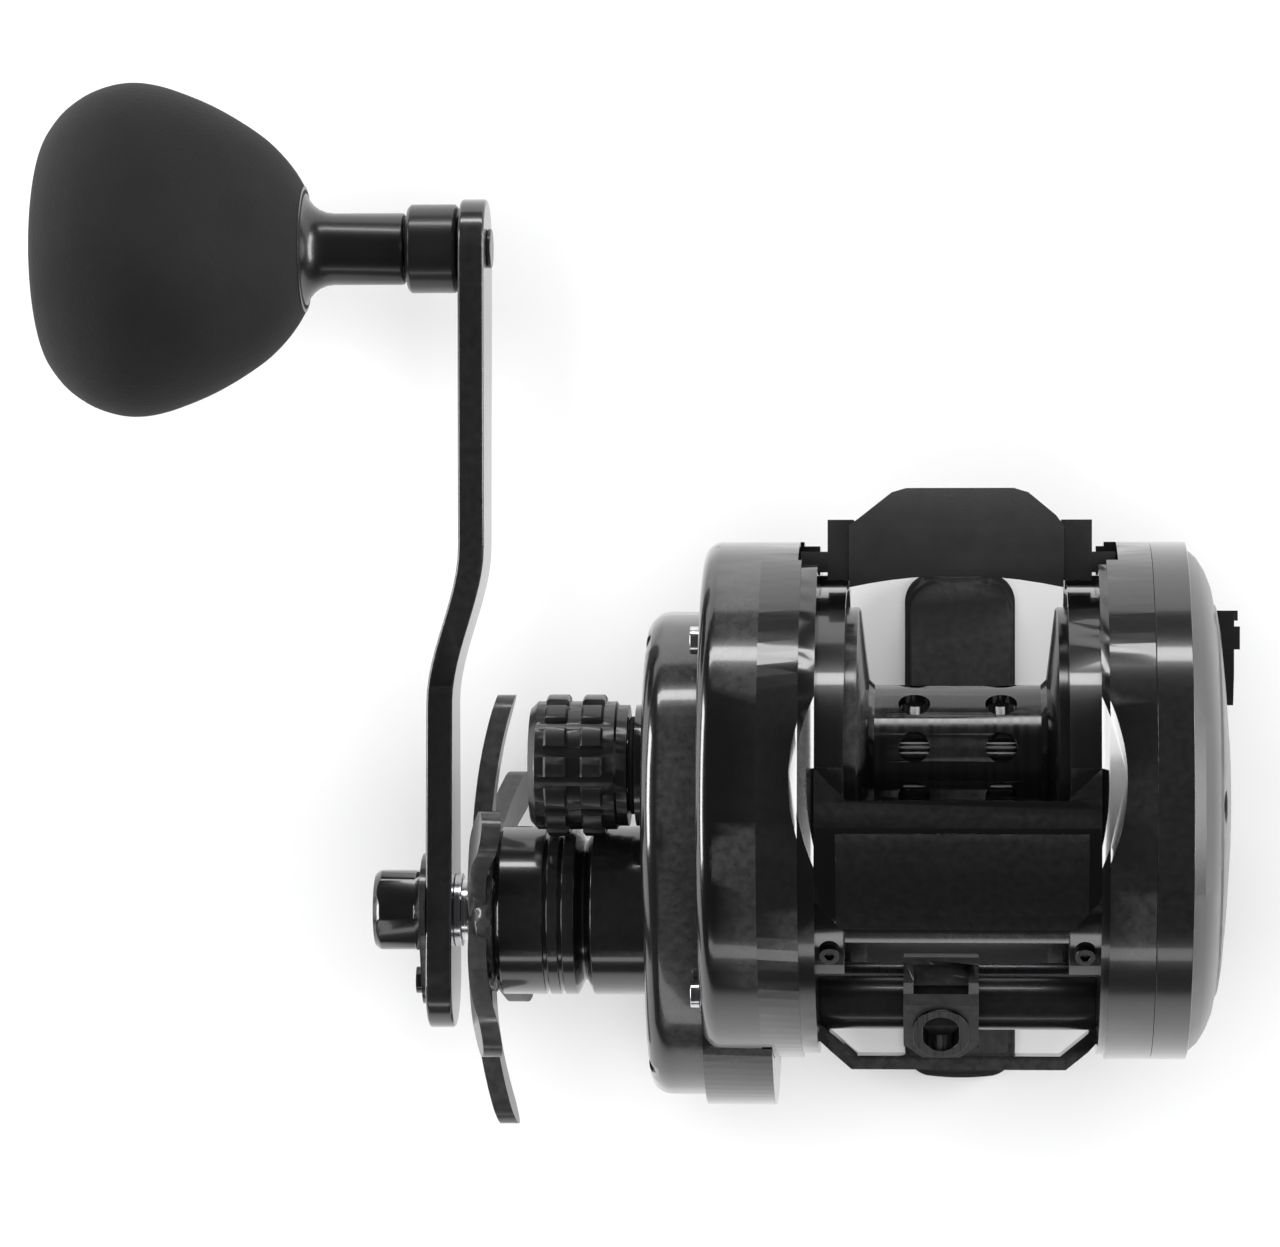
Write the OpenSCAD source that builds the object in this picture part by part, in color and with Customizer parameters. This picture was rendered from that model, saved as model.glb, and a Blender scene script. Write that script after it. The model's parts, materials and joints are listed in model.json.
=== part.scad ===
// Round level-wind trolling reel, seen with +X to the palm side, +Y to the rear and +Z up.
// The origin is the middle of the foot's underside, where the reel sits on a rod's reel seat.

/* [Axes] */
// Height of the spool axis above the foot's underside
spool_z = 42; // [41.5:0.1:42.5]
// Distance of the spool axis behind the foot's centre
spool_y = 9.8; // [9.6:0.1:10]
// Distance of the drums' centre behind the foot's centre
drum_y = 5.1; // [5:0.1:5.2]
// Distance of the drive axis behind the foot's centre
drive_y = -11; // [-11.1:0.1:-10.9]
// Distance of the level wind screw behind the foot's centre
worm_y = -23.4; // [-23.5:0.1:-23.3]

/* [Drums] */
// Radius of both drums
drum_r = 36; // [35.8:0.1:36.2]
// Wall thickness of the drums
drum_wall = 2.6; // [2.4:0.1:2.8]
// Rounding of the drums' outer edges
drum_round = 2.4; // [2:0.1:2.5]
// Radius of the collars round the spool's flanges
collar_r = 30; // [29.5:0.1:30]

/* [Spool] */
// Radius of the spool's flanges
flange_r = 22.2; // [22:0.1:22.3]
// Radius of the spool's arbor
arbor_r = 11.3; // [11:0.1:11.5]
// Radius of the ports in the arbor
port_r = 2.2; // [2:0.1:2.3]

/* [Gears] */
// Module of the main gear and pinion
gear_mod = 0.7; // [0.7]
// Teeth on the main gear
main_teeth = 54; // [54]
// Teeth on the pinion
pinion_teeth = 10; // [10]
// Module of the level wind gears
wind_mod = 0.6; // [0.6]
// Teeth on the level wind drive gear
wind_teeth = 30; // [30]
// Teeth on the worm gear
worm_teeth = 16; // [16]

/* [Handle] */
// Distance of the knob's axis from the drive axis
crank_len = 94; // [92:1:96]
// Thickness of the handle arm
arm_t = 3.7; // [3.5:0.1:3.8]
// Width of the handle arm
arm_w = 13; // [12:0.5:14]
// Largest radius of the foam knob
knob_r = 23.8; // [23:0.1:24]

/* [Star] */
// Reach of the star's arms
star_r = 30.7; // [30:0.1:31]
// Number of arms on the star
star_arms = 6; // [5:1:6]
// Turn of the star about the drive axis
star_turn = 5; // [0:1:10]

/* [Foot] */
// Length of the foot
foot_len = 74.6; // [73:0.1:76]
// Width of the foot
foot_w = 16.2; // [16:0.1:16.5]
// Thickness of the foot's tabs
foot_t = 3; // [2.8:0.1:3.2]

/* [Hidden] */
$fn = 64;
eps = 0.01;
// Running gap between a shaft and its hole
run = 0.05;

// Heights that follow from the gears' centre distances
main_pr = gear_mod * main_teeth / 2;
pinion_pr = gear_mod * pinion_teeth / 2;
wind_pr = wind_mod * wind_teeth / 2;
worm_pr = wind_mod * worm_teeth / 2;
drive_z = spool_z - sqrt(pow(main_pr + pinion_pr, 2) - pow(spool_y - drive_y, 2));
worm_z = drive_z + sqrt(pow(wind_pr + worm_pr, 2) - pow(drive_y - worm_y, 2));
knob_y = drive_y + crank_len;
// Direction of the pinion from the main gear, and of the worm gear from its driver
mesh_a = atan2(spool_z - drive_z, spool_y - drive_y);
wind_a = atan2(worm_z - drive_z, worm_y - drive_y);

// Stations along X, from the handle's nut to the palm side
nut_x = -82.9;
arm_x = -75.2;
arm_tip_x = -70.7;
star_x = -69.2;
barrel_x = -65.1;
cap_x = -60;
cover_x = -43.4;
plate_x = -35.4;
seam_l = -27.2;
ring_l = -21.7;
web_l = -19.5;
collar_l = -15.7;
collar_rt = 14.8;
web_rt = 18.9;
ring_rt = 20;
seam_rt = 26.2;
palm_x = 31.2;
dome_x = 37.5;

// Radii shared by neighbours
inner_r = drum_r - drum_wall;
web_r = drum_r - 0.6;
spool_bore = flange_r + 0.4;
shaft_r = 3;
barrel_r = 11.9;
nose_r = 27.3;
neck_r = 6.6;
spindle_r = 2.4;
axle_r = 1.6;
tube_r = 3.8;
rod_r = 1.05;
rod_y = -18.5;
rod_z = 45.6;
guide_x = -2.6;
guide_w = 10.4;
yoke_arm = 9.5;
hood_r = 34.6;
hood_y0 = -13.4;
hood_y1 = 6.1;
hood_screw_a = 127;
hood_end = 131;
floor_t = 1.8;
blend_fn = 32;

// ---- Shared shapes ----

module rod_x(x0, x1, r) {
    translate([x0, 0, 0]) rotate([0, 90, 0]) cylinder(h = x1 - x0, r = r);
}

module tube_x(x0, x1, ro, ri) {
    difference() {
        rod_x(x0, x1, ro);
        rod_x(x0 - eps, x1 + eps, ri);
    }
}

// Revolves a profile of [radius, x] points about the X direction
module spun() {
    rotate([0, 90, 0]) rotate_extrude() children();
}

// Extrudes a profile drawn in Y and Z along X
module along_x(x0, x1) {
    translate([x0, 0, 0]) rotate([90, 0, 90]) linear_extrude(x1 - x0) children();
}

module box(lo, hi) {
    translate(lo) cube(hi - lo);
}

module on_spool() { translate([0, spool_y, spool_z]) children(); }
module on_drum() { translate([0, drum_y, spool_z]) children(); }
module on_drive() { translate([0, drive_y, drive_z]) children(); }
module on_worm() { translate([0, worm_y, worm_z]) children(); }
module on_knob() { translate([0, knob_y, drive_z]) children(); }
module on_rod() { translate([0, rod_y, rod_z]) children(); }

// Copies at equal angles about the X direction
module round_x(count, start = 0) {
    for (i = [0 : count - 1]) rotate([start + i * 360 / count, 0, 0]) children();
}

// Outline round two circles, closed by their outer tangents
function tangent(a, ra, b, rb, side) =
    let (d = b - a, turn = atan2(d[1], d[0]) + side * acos((ra - rb) / norm(d)))
    [a + ra * [cos(turn), sin(turn)], b + rb * [cos(turn), sin(turn)]];

module lobes(a, ra, b, rb) {
    inset = 0.02;
    up = tangent(a, ra - inset, b, rb - inset, 1);
    down = tangent(a, ra - inset, b, rb - inset, -1);
    translate(a) circle(ra);
    translate(b) circle(rb);
    polygon([down[0], down[1], up[1], up[0]]);
}

// Points of an arc about c, from angle a0 to a1
function arc(c, r, a0, a1, steps) =
    [for (i = [0 : steps]) let (a = a0 + (a1 - a0) * i / steps) c + r * [cos(a), sin(a)]];

// Gear outline with involute flanks, thinned a little so that it runs free
function inv(a) = tan(a) * 180 / PI - a;

function flank(z, m, pa, r) =
    let (base = m * z / 2 * cos(pa), thin = 6 / z)
    90 / z - thin + inv(pa) - inv(acos(min(1, base / max(r, base))));

function gear_points(z, m, pa, add, ded) =
    let (pr = m * z / 2, radii = [pr - ded, pr - ded * 0.35, pr, pr + add * 0.5, pr + add])
    [for (t = [0 : z - 1], side = [-1, 1], k = [0 : 4])
        let (r = radii[side < 0 ? k : 4 - k], a = t * 360 / z + side * flank(z, m, pa, r))
        r * [cos(a), sin(a)]];

module gear(z, m) {
    polygon(gear_points(z, m, 25, 0.75 * m, 1.05 * m));
}

// Screw along -X with its head at x, drawn on the X direction
module screw(x, head_r, head_t, len, r) {
    difference() {
        union() {
            rod_x(x, x + head_t, head_r);
            rod_x(x + head_t - eps, x + len, r);
        }
        rod_x(x - eps, x + head_t * 0.55, head_r * 0.5, $fn = 6);
    }
}

// Closed coil of round wire along +X, swept through rings of points
module coil(r, wire, len, turns) {
    per = 12;
    sides = 6;
    rings = turns * per;
    pts = [for (i = [0 : rings], j = [0 : sides - 1])
        let (a = i * 360 / per, b = j * 360 / sides, rr = r + wire * cos(b))
        [wire + (len - 2 * wire) * i / rings + wire * sin(b), rr * cos(a), rr * sin(a)]];
    walls = [for (i = [0 : rings - 1], j = [0 : sides - 1])
        let (k = (j + 1) % sides)
        [i * sides + j, i * sides + k, (i + 1) * sides + k, (i + 1) * sides + j]];
    ends = [[for (j = [sides - 1 : -1 : 0]) j], [for (j = [0 : sides - 1]) rings * sides + j]];
    polyhedron(pts, concat(walls, ends));
}

// ---- Frame and foot ----

// Planar bevel on a drum's inner top edge; side is -1 at the handle and 1 at the palm
module lens_cut(side, x) {
    chord_h = drum_r - 2.5;
    tilt = 37;
    lean = -6;
    on_drum() rotate([lean, 0, 0]) translate([x, 0, chord_h])
        rotate([0, -side * tilt, 0]) box([-12, -30, 0], [12, 30, 12]);
}

module frame_side(x_seam, x_ring, x_web, x_collar, wall) {
    lo = min(x_seam, x_ring);
    hi = max(x_seam, x_ring);
    on_drum() tube_x(lo, hi, drum_r, inner_r);
    on_drum() rod_x(min(x_web, x_web + wall), max(x_web, x_web + wall), web_r);
    difference() {
        on_drum() rod_x(min(x_web, x_collar) - eps, max(x_web, x_collar) + eps, collar_r);
        box([-60, -80, 0], [60, -13.5, 58]);
        box([-60, -80, 0], [60, -18, 100]);
    }
}

module frame() {
    wall = 3.8;
    bar_y = drum_y - drum_r;
    bar_z = [38.5, 44];
    bar_t = 1.9;
    color("#141414") difference() {
        union() {
            frame_side(seam_l, ring_l, web_l, collar_l, -wall);
            frame_side(seam_rt, ring_rt, web_rt, collar_rt, wall);
            // Bottom bridge
            intersection() {
                on_drum() tube_x(web_l - 1, web_rt + 1, drum_r, drum_r - 3);
                box([-25, -19.5, 0], [25, 20, 30]);
            }
            // Rear pillars below the thumb bar's end blocks
            for (x = [[web_l - 1, -15.5], [14.6, web_rt + 1]])
                box([x[0], 30.5, 30], [x[1], 36.4, 41.8]);
            // Front guard bar with its two slanted ends
            translate([0, 0, bar_z[0]]) linear_extrude(bar_z[1] - bar_z[0])
                polygon([[web_l - 1, bar_y + 3.2], [-18, bar_y + 0.9], [-15.1, bar_y - 1.6],
                    [14.7, bar_y - 1.6], [17.8, bar_y + 0.9], [web_rt + 1, bar_y + 3.2],
                    [web_rt + 1, bar_y + 5.4], [17.2, bar_y + 3], [13.9, bar_y - 1.6 + bar_t],
                    [-14.3, bar_y - 1.6 + bar_t], [-17.4, bar_y + 3], [web_l - 1, bar_y + 5.4]]);
        }
        on_spool() rod_x(-40, 40, spool_bore);
        // Lead-in chamfers inside the collars
        on_spool() spun() polygon([[0, collar_l - 2], [spool_bore, collar_l - 2],
            [spool_bore + 2.4, collar_l + 0.4], [0, collar_l + 0.4]]);
        on_spool() spun() polygon([[0, collar_rt + 2], [spool_bore, collar_rt + 2],
            [spool_bore + 2.4, collar_rt - 0.4], [0, collar_rt - 0.4]]);
        on_worm() rod_x(-24, -18, 3.2);
        on_worm() rod_x(18, 24, 3.2);
        on_worm() rod_x(web_l, web_rt, tube_r);
        on_rod() rod_x(-21, 21, rod_r);
        lens_cut(-1, web_l);
        lens_cut(1, web_rt);
        // Slots that the thumb bar's tongues slide in
        for (x = [[-22.2, web_l + 1], [web_rt - 1, 21.6]])
            box([x[0], 36.4, 42.4], [x[1], 45, 55.6]);
        // Holes of the foot's rivets and the hood's screws
        rivet_places() translate([0, 0, -1]) cylinder(h = 30, r = 1.15);
        hood_places() translate([0, 0, 25]) cylinder(h = 9, r = 0.85);
    }
}

module rivet_places() {
    for (x = [-4.6, 4.6], y = [-8, 14]) translate([x, y, 0]) children();
}

// Radial places of the hood's screws, one at each end of its lower edge
module hood_places() {
    on_drum() for (x = [(web_l + collar_l) / 2, (collar_rt + web_rt) / 2])
        rotate([hood_screw_a - 90, 0, 0]) translate([x, 0, 0]) children();
}

function hood_angle(y) = acos((y - drum_y) / hood_r);

// Part of a tube about the drums' centre, between two angles from the rear
module arc_shell(x, ro, ri, a0, a1) {
    far = 60;
    mid = (a0 + a1) / 2;
    on_drum() intersection() {
        tube_x(x[0], x[1], ro, ri);
        along_x(x[0] - 1, x[1] + 1) polygon([[0, 0], far * [cos(a0), sin(a0)],
            far * [cos(mid), sin(mid)], far * [cos(a1), sin(a1)]]);
    }
}

module front_hood() {
    hood_t = 2;
    lip = hood_angle(hood_y1);
    ear = hood_angle(hood_y1 + 4.6);
    low = hood_angle(hood_y0 + 2.1);
    end = hood_angle(hood_y0);
    step_a = hood_angle(1.7);
    rise = 0.45;
    band_in = 0.5;
    inner = hood_r - hood_t;
    color("#0c0c0c") difference() {
        union() {
            intersection() {
                union() {
                    arc_shell([web_l, web_rt], hood_r, inner, ear, low);
                    arc_shell([web_l, web_rt], hood_r - band_in, inner, low - 0.1, end);
                    // Raised panel in front of the step line
                    arc_shell([-16.6, 17.2], hood_r + rise, inner + 0.3, step_a, low - 0.6);
                }
                // Plan outline with its chamfered lower corners
                translate([0, 0, 50]) linear_extrude(50) polygon([[web_l - 1, 11.4], [web_l - 1, -6.4],
                    [-15.4, -11.8], [-15.4, -20], [14.6, -20], [14.6, -11.8], [web_rt + 1, -6.2],
                    [web_rt + 1, 11.4], [14.4, hood_y1], [-15.1, hood_y1]]);
            }
            // Rims that sit on the collars and take the screws
            for (x = [[web_l, collar_l], [collar_rt, web_rt]])
                arc_shell(x, inner + 0.2, collar_r + 0.1, ear, hood_end);
        }
        hood_places() translate([0, 0, 20]) cylinder(h = 20, r = 0.85);
    }
}

module hood_screws() {
    head_r = hood_r - 1.8;
    color("silver") hood_places() difference() {
        union() {
            translate([0, 0, 26]) cylinder(h = head_r - 25.5, r = 0.8);
            translate([0, 0, head_r]) cylinder(h = 0.9, r = 1.4);
        }
        translate([0, 0, head_r + 0.3]) cylinder(h = 1, r = 0.7, $fn = 6);
    }
}

// Tab outline with rounded corners and slightly crowned ends
module foot_outline(w, l) {
    corner = 4.2;
    sag = l / 2 - sqrt(pow(l / 2, 2) - pow(w / 2 - corner, 2));
    intersection() {
        circle(l / 2);
        union() {
            square([w - 2 * corner, l], center = true);
            square([w, l - 2 * (corner + sag)], center = true);
            for (x = [-1, 1], y = [-1, 1])
                translate([x * (w / 2 - corner), y * (l / 2 - sag - corner)]) circle(corner);
        }
    }
}

module reel_foot() {
    edge = 0.8;
    saddle = [-14, 20];
    color("#1b1b1b") difference() {
        union() {
            linear_extrude(foot_t - edge) foot_outline(foot_w, foot_len);
            for (k = [0 : 1]) translate([0, 0, foot_t - edge + k * edge / 2])
                linear_extrude(edge / 2) foot_outline(foot_w - (k + 1) * 0.8, foot_len - (k + 1) * 1.6);
            box([-foot_w / 2 + 1, saddle[0], 1], [foot_w / 2 - 1, saddle[1], 13]);
        }
        on_drum() rod_x(-20, 20, drum_r);
        rivet_places() translate([0, 0, -1]) cylinder(h = 30, r = 1.15);
        rivet_places() translate([0, 0, -1]) cylinder(h = 2.2, r = 2.1);
    }
}

module foot_rivets() {
    color("dimgray") rivet_places() {
        translate([0, 0, 0.2]) cylinder(h = 1, r = 2);
        translate([0, 0, 0.2]) cylinder(h = 8.6, r = 1.1);
    }
}

// ---- Handle side ----

// Solid drum from the open side at x0 to the closed side, its closed edge rounded
module drum_shell(x_closed, x_open) {
    on_drum() spun() union() {
        translate([0, x_closed]) square([drum_r - drum_round, x_open - x_closed]);
        translate([0, x_closed + drum_round]) square([drum_r, x_open - x_closed - drum_round]);
        translate([drum_r - drum_round, x_closed + drum_round]) circle(drum_round);
    }
}

module handle_side_plate() {
    nose_x = [plate_x, -25.8];
    boss_x = -23.8;
    cavity_r = 20.6;
    face_t = 1.6;
    color("#101010") difference() {
        union() {
            difference() {
                drum_shell(plate_x, seam_l);
                on_drum() rod_x(plate_x + face_t, seam_l - 1.4, inner_r);
                cover_lobes(plate_x - 1, plate_x + face_t + 1, 2.4);
            }
            // Lugs for the screws
            side_screw_places() rod_x(plate_x + eps, seam_l, 2.4);
            cover_screw_places() rod_x(plate_x, plate_x + 3.5, 2.2);
            // Nose that covers the main gear, outside the drum
            difference() {
                on_drive() rod_x(nose_x[0], nose_x[1], nose_r);
                on_drum() rod_x(seam_l, 0, drum_r + 0.15);
                on_drum() rod_x(-40, seam_l - 1.4, inner_r);
            }
            on_drum() rod_x(seam_l - eps, seam_l + floor_t, inner_r - 0.15);
            on_spool() rod_x(seam_l, boss_x, 6.4);
            on_drive() rod_x(seam_l, boss_x, 6);
        }
        // Room for the gears
        on_drum() rod_x(seam_l - 1.5, seam_l - 0.2, inner_r - 2.4);
        on_drive() rod_x(plate_x - 1, seam_l - 1.4, cavity_r);
        on_spool() rod_x(seam_l + 0.2, boss_x - 0.6, 5);
        on_spool() rod_x(-30, -20, 3.4);
        on_drive() rod_x(seam_l + 0.2, boss_x - 0.6, 4.5);
        on_drive() rod_x(-30, boss_x - 0.6, 2.8);
        on_worm() rod_x(-30, -20, 2);
        side_screw_places() rod_x(plate_x - 1, plate_x + 7, 1.02);
        cover_screw_places() rod_x(plate_x - 1, plate_x + 5, 0.97);
    }
}

module side_screw_places() {
    for (p = [[27.4, 62.1], [-20.9, 60.5], [15.4, 13.8]]) translate([0, p[0], p[1]]) children();
}

module side_plate_screws() {
    color("gainsboro") side_screw_places() screw(plate_x - 1.3, 1.9, 1.3, 8, 1);
}

// Cover outline: one lobe round the drum's centre, one round the drive axis
cover_ra = 26.2;
cover_rb = 26;

module rounded_disc(x0, x1, r, round) {
    spun() polygon(concat([[0, x1], [r, x1]],
        [for (p = arc([r - round, 0], round, 0, 90, 6)) [p[0], x0 + round - p[1]]], [[0, x0]]),
        $fn = blend_fn);
}

module cover_lobes(x0, x1, inset) {
    along_x(x0, x1) lobes([drum_y, spool_z], cover_ra - inset, [drive_y, drive_z], cover_rb - inset);
}

module gear_box_cover() {
    wall = 1.8;
    face_x = cover_x + wall;
    color("#0f0f0f") difference() {
        union() {
            hull() {
                on_drum() rounded_disc(cover_x, plate_x, cover_ra, 3, $fn = blend_fn);
                on_drive() rounded_disc(cover_x, plate_x, cover_rb, 3, $fn = blend_fn);
            }
            // Threaded neck of the cast control cap with its base ring
            on_spool() rod_x(cover_x - 1.8, cover_x + eps, 8.5);
            on_spool() rod_x(-54.5, cover_x, neck_r);
            on_spool() rod_x(cover_x, plate_x - 1.5, neck_r + 0.4);
        }
        difference() {
            cover_lobes(face_x, plate_x + 1, wall);
            on_spool() rod_x(face_x - 1, plate_x - 1.5, neck_r + 0.4);
            cover_screw_places() rod_x(face_x - 1, plate_x + 2, 2.4);
        }
        on_spool() rod_x(-50.4, -47, 5);
        on_spool() rod_x(-56, -50, 4);
        on_spool() rod_x(-48, plate_x, 2.2);
        on_spool() rod_x(-44.6, plate_x, 4.4);
        on_spool() tube_x(-46.25, -45.25, 9, neck_r - 0.6);
        on_drive() rod_x(cover_x - 1, plate_x, 8.6);
        // Room for the drag stack's cup
        on_drive() rod_x(face_x, plate_x, 17);
        cover_screw_places() rod_x(cover_x - 1, plate_x + 2, 1);
        cover_screw_places() rod_x(cover_x - 1, cover_x + 1.6, 1.9);
    }
}

// Places just inside the cover's outline, clear of the main gear
module cover_screw_places() {
    reach = cover_ra - 3;
    on_drum() for (a = [25, -65]) rotate([a, 0, 0]) translate([0, reach, 0]) children();
    on_drive() for (a = [150, 235]) rotate([a, 0, 0]) translate([0, reach, 0]) children();
}

module cover_screws() {
    color("dimgray") cover_screw_places() screw(cover_x + 0.7, 1.8, 0.9, 10.3, 0.95);
}

module clutch_housing() {
    groove_x = -52.8;
    color("#111111") on_drive() difference() {
        spun() polygon([[8, barrel_x], [barrel_r - 0.6, barrel_x], [barrel_r, barrel_x + 0.6],
            [barrel_r, groove_x - 1.2], [barrel_r - 2, groove_x - 0.2],
            [barrel_r - 2, groove_x + 0.2], [barrel_r, groove_x + 1.2],
            [barrel_r, cover_x], [8, cover_x]]);
        for (x = [-58.1, -56]) spun() polygon([[barrel_r - 0.45, x - 0.3], [barrel_r + 1, x - 0.3],
            [barrel_r + 1, x + 0.3], [barrel_r - 0.45, x + 0.3]]);
        rod_x(barrel_x - 1, -56.6, 10);
    }
    // Inner end wall of the bearing's seat
    color("#111111") on_drive() tube_x(cover_x - 1.2, cover_x + 0.4, 8.5, 5.6);
}

module one_way_bearing() {
    rollers = 8;
    color("silver") on_drive() {
        tube_x(-56.5, cover_x - 1.2, 8, 6.9);
        tube_x(-56.5, -55.7, 6.9, 5.1);
        tube_x(cover_x - 2, cover_x - 1.2, 6.9, 5.1);
        round_x(rollers) translate([0, 0, 6]) rod_x(-55.7, cover_x - 2, 0.85);
    }
}

// Ball bearing between two radii, with its balls between two races
module bearing(x0, x1, ro, ri, balls) {
    t = (ro - ri) * 0.28;
    mid = (ro + ri) / 2;
    ball_r = (ro - ri) * 0.26;
    color("silver") {
        tube_x(x0, x1, ro, ro - t);
        tube_x(x0, x1, ri + t, ri);
        round_x(balls) translate([(x0 + x1) / 2, 0, mid]) sphere(ball_r, $fn = 24);
    }
}

module drive_bearing() {
    on_drive() bearing(seam_l + 0.2, -24.4, 4.5, spindle_r + run, 7);
}

module pinion_bearing() {
    on_spool() bearing(seam_l + 0.2, -24.4, 5, 3 + run, 8);
}

// Turns from the line of centres to the direction of the yoke's posts
module yoke_post_places() {
    on_spool() for (s = [-1, 1]) rotate([mesh_a, 0, 0]) translate([0, 0, s * yoke_arm]) children();
}

module yoke_posts() {
    color("silver") yoke_post_places() rod_x(cover_x + 1.8, seam_l - 0.2, 1);
}

dog_y = 4;
dog_z = 15.5;

module dog_pin() {
    color("silver") translate([0, dog_y, dog_z]) {
        rod_x(-32.4, seam_l - 0.2, 1);
        rod_x(-32.9, -32.3, 1.6);
    }
}

// ---- Palm side ----

module palm_screw_places() {
    on_drum() for (a = [90, 210, 330]) rotate([a - 90, 0, 0]) translate([0, 0, 25]) children();
}

module palm_side_plate() {
    floor_x = 24.4;
    hub_x = 29.8;
    color("#101010") difference() {
        union() {
            on_drum() tube_x(seam_rt, palm_x, drum_r, inner_r);
            on_drum() rod_x(floor_x, seam_rt, inner_r - 0.15);
            on_drum() rod_x(seam_rt, seam_rt + 1.2, inner_r + 0.1);
            on_spool() rod_x(seam_rt, hub_x, 6.2);
            palm_screw_places() rod_x(seam_rt, palm_x, 3);
        }
        on_spool() rod_x(26.2, hub_x - 0.8, 4);
        on_spool() rod_x(20, 27, 2);
        palm_screw_places() rod_x(seam_rt - 1, palm_x + 1, 1.05);
    }
}

dome = [[0, dome_x], [10, 37.2], [19, 36.45], [25, 35.8], [27.2, 35.4], [27.5, 35.1], [30, 34.6],
    [32, 33.8], [33.8, 32.7], [35.1, palm_x]];

module palm_cap() {
    inside = [[33, palm_x], [31.6, 32.2], [29, 33.2], [24, 33.6], [10, 34.2], [0, 34.5]];
    seat_x = 34.3;
    color("#3a3a3a") difference() {
        union() {
            on_drum() spun() polygon(concat(dome, inside));
            palm_screw_places() rod_x(palm_x, seat_x + 0.6, 3);
        }
        palm_screw_places() rod_x(palm_x - 1, palm_x + 9, 1.05);
        palm_screw_places() rod_x(seat_x, palm_x + 9, 2.2);
        // Slot of the click switch's stem
        box([30, click_y1 - 5.8 - click_travel, spool_z - 1.4], [40, click_y1 - 1.2, spool_z + 1.4]);
        box([click_floor, click_y0 - click_travel - 0.4, spool_z - 3.2], [40, 40, spool_z + 3.2]);
    }
}

module palm_screws() {
    color("dimgray") palm_screw_places() mirror([1, 0, 0]) screw(-35.3, 2, 1, 8.6, 1);
}

module brake_drum() {
    color("goldenrod") on_spool() {
        tube_x(20.6, 24.4, 16.4, 15.4);
        tube_x(23.6, 24.4, 15.4, 12);
    }
}

module spool_bearings() {
    on_spool() {
        bearing(-50.2, -47.2, 5, axle_r, 8);
        bearing(26.2, 28.9, 4, axle_r, 7);
    }
}

click_y0 = 18.3;
click_y1 = 31.5;
click_floor = 35.5;
click_travel = 4;

module click_switch() {
    slab = click_floor + 0.1;
    top = 38.8;
    color("#161616") {
        translate([0, 0, spool_z]) along_x(slab, top - 0.8) polygon([[click_y0, 0],
            [click_y0 + 4, -2.2], [click_y1, -2.8], [click_y1, 2.8], [click_y0 + 4, 2.2]]);
        box([slab, click_y1 - 5.4, spool_z - 2.5], [top, click_y1 - 2.2, spool_z + 2.5]);
        box([slab, click_y1 - 1.4, spool_z - 2.5], [top - 0.3, click_y1, spool_z + 2.5]);
        box([32.9, click_y1 - 5.4, spool_z - 1.1], [slab + 1, click_y1 - 1.6, spool_z + 1.1]);
        box([32.2, click_y1 - 6, spool_z - 2.2], [33, click_y1 - 1, spool_z + 2.2]);
    }
}

// ---- Spool ----

spool_c = -0.3;

module spool() {
    half = 15.1;
    rim_t = 1.6;
    taper = 1.2;
    skirt = 2.6;
    color("#0a0a0a") on_spool() translate([spool_c, 0, 0]) difference() {
        spun() polygon(concat(
            [[axle_r - run, -half - 1], [3.4, -half - 1], [3.4, -half + 0.6], [flange_r - 1.4, -half + 0.6],
                [flange_r - 1.4, -half - skirt], [flange_r - 0.2, -half - skirt],
                [flange_r, -half - skirt + 0.3], [flange_r, -half + rim_t - 0.3],
                [flange_r - 0.4, -half + rim_t], [arbor_r + 0.8, -half + rim_t + taper],
                [arbor_r, -half + rim_t + taper + 0.8]],
            [[arbor_r, half - rim_t - taper - 0.8], [arbor_r + 0.8, half - rim_t - taper],
                [flange_r - 0.4, half - rim_t], [flange_r, half - rim_t + 0.3],
                [flange_r, half + skirt - 0.3], [flange_r - 0.2, half + skirt],
                [flange_r - 1.4, half + skirt], [flange_r - 1.4, half - 0.6],
                [3.4, half - 0.6], [3.4, half + 1], [axle_r - run, half + 1]]));
        spun() polygon([[3.4, -half + 2.2], [arbor_r - 1.3, -half + 2.2],
            [arbor_r - 1.3, half - 2.2], [3.4, half - 2.2]]);
        for (x = [-6, 6]) round_x(10, -15) translate([x, 0, arbor_r - 4]) cylinder(h = 8, r = port_r);
    }
}

module spool_shaft() {
    color("silver") on_spool() {
        rod_x(-57.6, 28.7, axle_r - run);
        rotate([mesh_a, 0, 0]) translate([-23.9, 0, -2.4]) cylinder(h = 4.8, r = 0.5);
    }
}

module click_gear() {
    color("goldenrod") on_spool() difference() {
        along_x(16, 17.2) polygon(gear_points(20, 0.9, 25, 0.7, 0.9));
        rod_x(15, 18, axle_r - run);
    }
}

module brake_hub() {
    blocks = 6;
    color("#222222") on_spool() {
        tube_x(19.8, 22, 6, axle_r - run);
        round_x(blocks) {
            translate([20.9, 0, 5.8]) cylinder(h = 8.4, r = 0.5);
            translate([20.9, 0, 9.6]) cylinder(h = 4, r = 0.95);
        }
    }
}

// ---- Crank ----

module drive_shaft() {
    color("silver") on_drive() {
        rod_x(-80.5, seam_l - 0.6, shaft_r);
        rod_x(seam_l - 0.7, -24.6, spindle_r);
    }
}

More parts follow.
